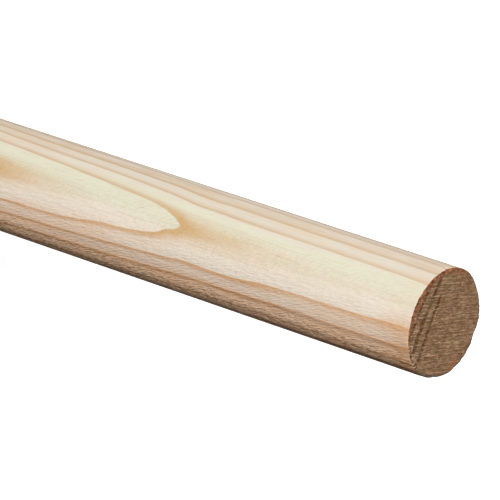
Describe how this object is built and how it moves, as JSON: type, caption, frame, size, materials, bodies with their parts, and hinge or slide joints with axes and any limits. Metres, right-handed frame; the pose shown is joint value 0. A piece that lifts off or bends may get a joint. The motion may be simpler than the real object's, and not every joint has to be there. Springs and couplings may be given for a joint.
{
  "type": "wooden dowel pin",
  "caption": "Plain round softwood dowel with a smooth straight shaft and square-sawn ends, glued or pushed into drilled holes to join or carry parts.",
  "frame": {"origin": "centre of the lower sawn end", "axes": "+Z along the dowel's axis, from the lower sawn end to the upper one; -Y towards the side that the picture shows"},
  "size_m": [0.025, 0.025, 0.2],
  "materials": {
    "pine": "planed bare softwood with rough-sawn ends, no varnish"
  },
  "bodies": {
    "root": {"dowel": "pine"}
  },
  "joints": []
}
